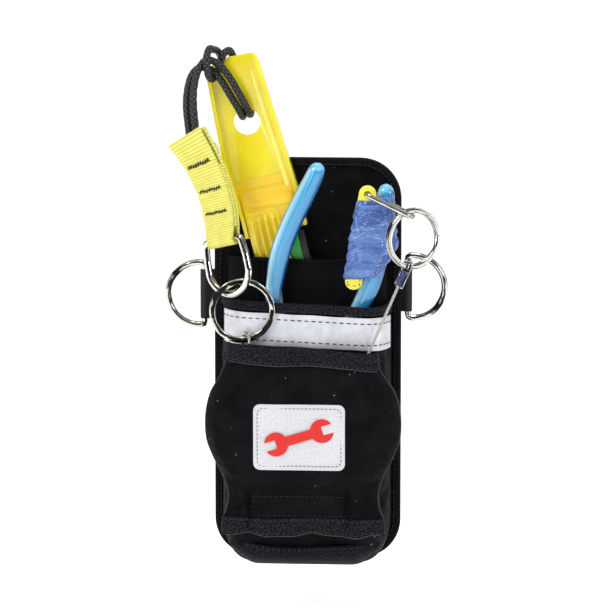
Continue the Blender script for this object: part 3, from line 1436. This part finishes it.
KNIFE_PLACE = turned(-45.5, 0, 73.3, (math.radians(-14), "Y"))
refined("knife_shell", "knife_body", KNIFE_YELLOW, "knife", 1.15, 4)
refined("knife_core_bar", "knife_core", BLACK_PLASTIC, "knife", 0.8, 3)
refined("knife_slider", "blade_carrier", KNIFE_GREEN, "blade", 1.2, 4)
refined("slider_screw", "carrier_screw", STEEL, "blade", 0.3, 2)
refined("knife_cutting_blade", "knife_blade", STEEL, "blade", 0.2, 2)


def boxed_face(name, surface, across, along, base_depth, material, node=None):
    """A moulded face with straight sides down to the channel's floor, as one closed body."""
    verts = [surface(i / across, j / along) for j in range(along + 1) for i in range(across + 1)]
    faces = grid_faces(across, along)
    row = across + 1
    rim = [j * row for j in range(along + 1)] + [along * row + i for i in range(1, across + 1)]
    rim += [j * row + across for j in range(along - 1, -1, -1)] + list(range(across - 1, 0, -1))
    base, count = len(verts), len(rim)
    verts.extend(Vector((verts[index].x, -base_depth, verts[index].z)) for index in rim)
    faces.extend((rim[(k + 1) % count], rim[k], base + k, base + (k + 1) % count)[::-1] for k in range(count))
    faces.append(tuple(reversed([base + k for k in range(count)])))
    return piece(name, verts, faces, material, "knife", replaces=node, place=KNIFE_PLACE)


def ramp_surface(u, v):
    """The ramp out of the channel's floor, between its two walls."""
    x = -20.6 + 42.4 * u
    w = -43 - 43.4 * v
    rise = smoothstep(-50, -66, w + 2.5 * (u - 0.5))
    side = 1 - abs(2 * u - 1) ** 18
    return at(x, 9.85 + 7.9 * rise * side, w)


def rib_surface(u, v):
    """Four long finger ribs on the grip."""
    x = -18.6 + 27.2 * u
    w = -64 - 86 * v
    ribs = 0.5 + 0.5 * math.cos(2 * math.pi * (x + 14) / 5.4)
    on_grip = smoothstep(-70, -75, w) * smoothstep(-18.2, -16, x) * smoothstep(8.4, 6.0, x)
    side = 1 - abs(2 * u - 1) ** 16
    top = smoothstep(-64, -67, w)
    return at(x, 16.2 + (1.6 + 2.4 * ribs ** 0.7 * on_grip) * side * top, w)


boxed_face("knife_ramp", ramp_surface, 64, 60, 9.8, KNIFE_AMBER)
boxed_face("knife_ribbed_grip", rib_surface, 72, 100, 10.2, KNIFE_GOLD, "knife_grip")


def floor_bead(name, points, half_a, half_b):
    """A low bead moulded along the channel's floor."""
    path = spline(points, 80)

    def section(t, i):
        fade = min(1.0, 0.1 + 14 * min(t, 1 - t))
        return rounded_box(half_a * fade, half_b * fade, 2.2, 20)
    return swept(
        name, path, section, POLISHED_YELLOW, "knife", place=KNIFE_PLACE, fixed_up=True)


floor_bead(
    "knife_right_bead", [at(12.5, 9.75, 38), at(15.0, 9.75, 0), at(17.6, 9.75, -38), at(19.6, 9.75, -78)],
    1.9, 0.75)



# ---------------------------------------------------------------- the knife's webbing tether

WEB_HALF, FOLD_RADIUS = 12.7, 5.2
TILT_COS, TILT_SIN = math.cos(TETHER_TILT), math.sin(TETHER_TILT)


def webbing_point(u, s, depth):
    """A place on the tether webbing: u across from 0 to 1, s from the ring, 0, to the top, 1."""
    left = bezier((-WEB_HALF * TILT_COS, -WEB_HALF * TILT_SIN), (-15, 20), (-20, 42), (-50.5, 67), s)
    right = bezier((WEB_HALF * TILT_COS, WEB_HALF * TILT_SIN), (15, 27), (6.5, 49), (-20, 84), s)
    return at(left[0] + (right[0] - left[0]) * u, depth, left[1] + (right[1] - left[1]) * u)


def webbing_loop(u, v):
    """One webbing, down the back, round the ring's bar and up the front."""
    if v < 0.45:
        s = 1 - v / 0.45
        return webbing_point(1 - u, s, -(4.4 + 0.8 * math.exp(-9 * s)))
    if v > 0.55:
        s = (v - 0.55) / 0.45
        lift = wobble((u * 12, 0, s * 80), 16, 0.4, 3)
        return webbing_point(1 - u, s, 4.4 + 0.8 * math.exp(-9 * s) + lift * min(1, 5 * s))
    angle = math.pi * (v - 0.45) / 0.1
    base = webbing_point(1 - u, 0, -FOLD_RADIUS * math.cos(angle))
    drop = FOLD_RADIUS * math.sin(angle)
    return base + Vector((TILT_SIN * drop, 0, -TILT_COS * drop))


cloth_sheet(
    "tether_folded_webbing", webbing_loop, 18, 150, 2.6, YELLOW_WEBBING, "knife", (25.4, 186),
    replaces="tether_webbing", place=TETHER_PLACE,
)
cloth_sheet(
    "tether_inner_webbing", lambda u, v: webbing_point(u, 0.72 - 0.6 * v, 1.4), 16, 60, 2.8, YELLOW_WEBBING,
    "knife", (25.4, 55), place=TETHER_PLACE,
)


def bar_tack(s, amplitude=1.15, count=9):
    """A zigzag of black thread across the webbing, worn a little uneven."""
    points = []
    for k in range(count * 2 + 1):
        u = 0.14 + 0.7 * k / (count * 2)
        shift = (amplitude + 0.35 * math.sin(k * 2.3)) / 75 * (1 if k % 2 else -1)
        points.append(webbing_point(u, s + shift, 4.7 + 0.8 * math.exp(-9 * s)))
    return points


for k, s in enumerate((0.3, 0.53, 0.77)):
    swept(
        f"tether_bar_tack_{k + 1}", even(bar_tack(s), 170), lambda t, i: circle(0.36, 8), THREAD, "knife",
        place=TETHER_PLACE, fixed_up=True,
    )
    base_line = [webbing_point(0.12 + 0.74 * k / 20, s, 4.75 + 0.8 * math.exp(-9 * s)) for k in range(21)]
    stitches(
        f"tether_tack_line_{k + 1}", [(base_line, FORWARD)], THREAD, "knife", length=2.2, gap=0.3,
        radius=0.42, place=TETHER_PLACE)


def tag_surface(u, v):
    return at(-15 + 8 * u, -5.1 - 0.3 * math.sin(3 * u), 73 - 12 * v - 2 * u)


cloth_sheet(
    "tether_care_tag", tag_surface, 8, 12, 0.5, TAG, "knife", (8, 12), place=TETHER_PLACE,
    replaces="tether_tag")


# ---------------------------------------------------------------- pliers

LEFT_GRIP = [
    (9.6, 41.5), (4.9, 31), (-4, 13.3), (-11.6, -3.2), (-18, -20.5), (-22.2, -40), (-23.4, -60), (-15, -84)]
RIGHT_GRIP = [(60.8, 26), (60.2, 19), (58.5, 0), (55, -22), (50.1, -43), (41.5, -62.8), (29, -84)]
GRIP_DEPTH = 32.5


def dipped_grip(name, points, body, node):
    """A dipped handle grip: oval, with a rounded tip, a moulding line and a soft ridge down its face."""
    line = [at(x, GRIP_DEPTH, z) for x, z in points]
    tip = line[0] + (line[0] - line[1]).normalized() * 4.2
    path = spline([tip] + line, 120)
    length = path_length(path)

    def section(t, i):
        along = t * length
        near_tip = min(1.0, along / 9.5)
        dome = math.sqrt(max(0.0, 1 - (1 - near_tip) ** 2)) or 0.05
        swell = 0.92 + 0.13 * smoothstep(0, 34, along) - 0.16 * smoothstep(76, 104, along)
        end = 1 - 0.12 * smoothstep(length - 6, length, along)
        ring = []
        for k in range(36):
            angle = 2 * math.pi * k / 36
            ridge = 0.3 * math.exp(-(math.sin(angle) / 0.16) ** 2)
            face = 0.35 * math.exp(-(math.cos(angle) / 0.22) ** 2) * smoothstep(14, 30, along)
            ring.append((
                (7.0 + ridge) * dome * swell * end * math.cos(angle),
                (4.85 + face) * dome * swell * end * math.sin(angle),
            ))
        return ring

    made = swept(name, path, section, GRIP_BLUE, body, fixed_up=True, replaces=node)
    made.data.materials.append(GRIP_TIP)
    for polygon in made.data.polygons:
        away = (polygon.center / MM - tip).length
        polygon.material_index = 1 if away < 6.5 + 1.2 * math.sin(polygon.center.y / MM * 2) else 0
    return made


dipped_grip("left_dipped_grip", LEFT_GRIP, "pliers_lever", "pliers_left_grip")
dipped_grip("right_dipped_grip", RIGHT_GRIP, "pliers", "pliers_right_grip")
refined("left_steel_lever", "pliers_left_lever", STEEL, "pliers_lever", 0.5, 3)
refined("right_steel_lever", "pliers_right_lever", STEEL, "pliers", 0.5, 3)
refined("pliers_joint_rivet", "pliers_rivet", STEEL, "pliers", 0.5, 3)

STRAP_EYE_X, STRAP_EYE_Z, STRAP_TAIL_X, STRAP_TAIL_Z = 47.6, 24, 36, -49
STRAP_LEAN = math.atan2(STRAP_EYE_X - STRAP_TAIL_X, STRAP_EYE_Z - STRAP_TAIL_Z)
STRAP_LENGTH = math.hypot(STRAP_EYE_X - STRAP_TAIL_X, STRAP_EYE_Z - STRAP_TAIL_Z)
STRAP_PLACE = turned(STRAP_EYE_X, 0, STRAP_EYE_Z, (STRAP_LEAN, "Y"))
refined(
    "tool_strap", "pliers_tether_strap", YELLOW_STRAP, "pliers", 0.7, 3, cloth_frame=STRAP_PLACE)
eye = [p + at(0, 48.5, 0) for p in arc(0, 0, 3.1, 0, 360, 40)[:-1]]
swept(
    "strap_eyelet", eye, lambda t, i: circle(0.75, 12), YELLOW_STRAP, "pliers", closed=True,
    place=STRAP_PLACE,
)
TAPE_STATIONS = [
    # height, middle x, half width, half thickness
    (20.5, 53.6, 12.6, 8.6), (17, 53.2, 13.8, 9.0), (8, 52.2, 15.2, 9.0), (-1, 52.0, 16.2, 9.2),
    (-10, 51.6, 17.6, 9.2), (-15, 51.2, 18.4, 9.2), (-22, 49.8, 17.0, 9.2), (-30, 47.0, 15.4, 9.2),
    (-36, 44.2, 14.4, 9.1), (-40, 42.6, 13.8, 8.8),
]


def fused_wrap():
    """Self-fusing tape wound round the grip and the strap: overlapping turns, pulled into wrinkles."""
    centres, widths, thicks = (by_height([(row[k], row[0]) for row in TAPE_STATIONS], 110) for k in (1, 2, 3))
    verts, uvs = [], []
    sides, rows = 72, len(centres)
    for i, centre in enumerate(centres):
        end = min(1.0, 0.9 + 0.05 * min(i, rows - 1 - i))
        for k in range(sides):
            angle = 2 * math.pi * k / sides
            turn = (centre.z + 7 * angle / (2 * math.pi)) / 7.5
            lap = turn - math.floor(turn)
            step = 0.75 * (smoothstep(0, 0.12, lap) - lap)
            c, s = math.cos(angle), math.sin(angle)
            corner = 0.46 + 0.24 * c
            a = widths[i].x * squared(c, corner)
            b = thicks[i].x * squared(s, corner)
            pull = wobble((a * 0.8, b, centre.z), 6.5, 1.0, 9) + wobble((a, b, centre.z * 0.5), 2.8, 0.45, 2)
            scale = end + (step + pull) / 14
            x, depth = centre.x + a * scale, 34.6 + min(b * scale, 9.4)
            over_strap = smoothstep(0.02, 0.3, s) * smoothstep(36.5, 39, x) * smoothstep(57, 54, x)
            over_strap *= smoothstep(-4, 3, centre.z) * smoothstep(19.8, 17.4, centre.z)
            depth += (49.8 + 0.5 * pull - depth) * over_strap
            verts.append(at(x, depth, centre.z + 1.2 * math.sin(angle + i * 0.02)))
            uvs.append((k / sides * 80, centre.z))
    piece(
        "fused_tape_wrap", verts, tube_faces(rows, sides), TAPE, "pliers", uvs=uvs, replaces="pliers_tape")


fused_wrap()
tool_strap_rows = [
    ([at(x, 41.3, -18), at(x, 41.3, 2 - STRAP_LENGTH)], FORWARD) for x in (-4.6, 4.6)]
tool_strap_rows.append(([at(x, 41.3, 3 - STRAP_LENGTH) for x in (-4.6, 4.6)], FORWARD))
stitches(
    "strap_stitches", tool_strap_rows, GREY_THREAD, "pliers", length=2.2, gap=1.2, radius=0.3,
    place=STRAP_PLACE)


# ---------------------------------------------------------------- declarations, floor and finish

for cord, path, length, exit_place, swivel_body in (
    (left_cord, left_path, left_length, at(-CORD_X, 55, -121.5), "left"),
    (right_cord, right_path, right_length, at(CORD_X, 55, -121.5), "right"),
):
    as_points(metres(path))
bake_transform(left_cord)
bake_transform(right_cord)
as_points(metres(knife_path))


def studio_sweep():
    """A seamless pale floor that curves up into a backdrop."""
    profile = [(-5, -0.3), (-1, -0.3), (1.5, -0.3), (2.8, -0.25), (3.8, 0), (4.3, 0.6), (4.5, 1.6), (4.5, 5)]
    curve = spline([(0, y, z) for y, z in profile], 60)
    verts = [(x * 1000, p.y * 1000, p.z * 1000) for p in curve for x in (-7, 7)]
    faces = [(2 * i, 2 * i + 1, 2 * i + 3, 2 * i + 2) for i in range(len(curve) - 1)]
    mesh = bpy.data.meshes.new("studio_sweep")
    mesh.from_pydata([tuple(Vector(v) * MM) for v in verts], [], faces)
    mesh.polygons.foreach_set("use_smooth", [True] * len(mesh.polygons))
    floor = Finish("studio_paper", rgb(250, 250, 250), 0.9)
    floor.color(floor.mix(floor.noise(400, 2), rgb(252, 252, 252), rgb(247, 247, 247)))
    floor.shader.inputs["Emission Color"].default_value = (1, 1, 1, 1)
    floor.shader.inputs["Emission Strength"].default_value = 0.42
    mesh.materials.append(floor.material)
    obj = bpy.data.objects.new("studio_sweep", mesh)
    scene.collection.objects.link(obj)


studio_sweep()
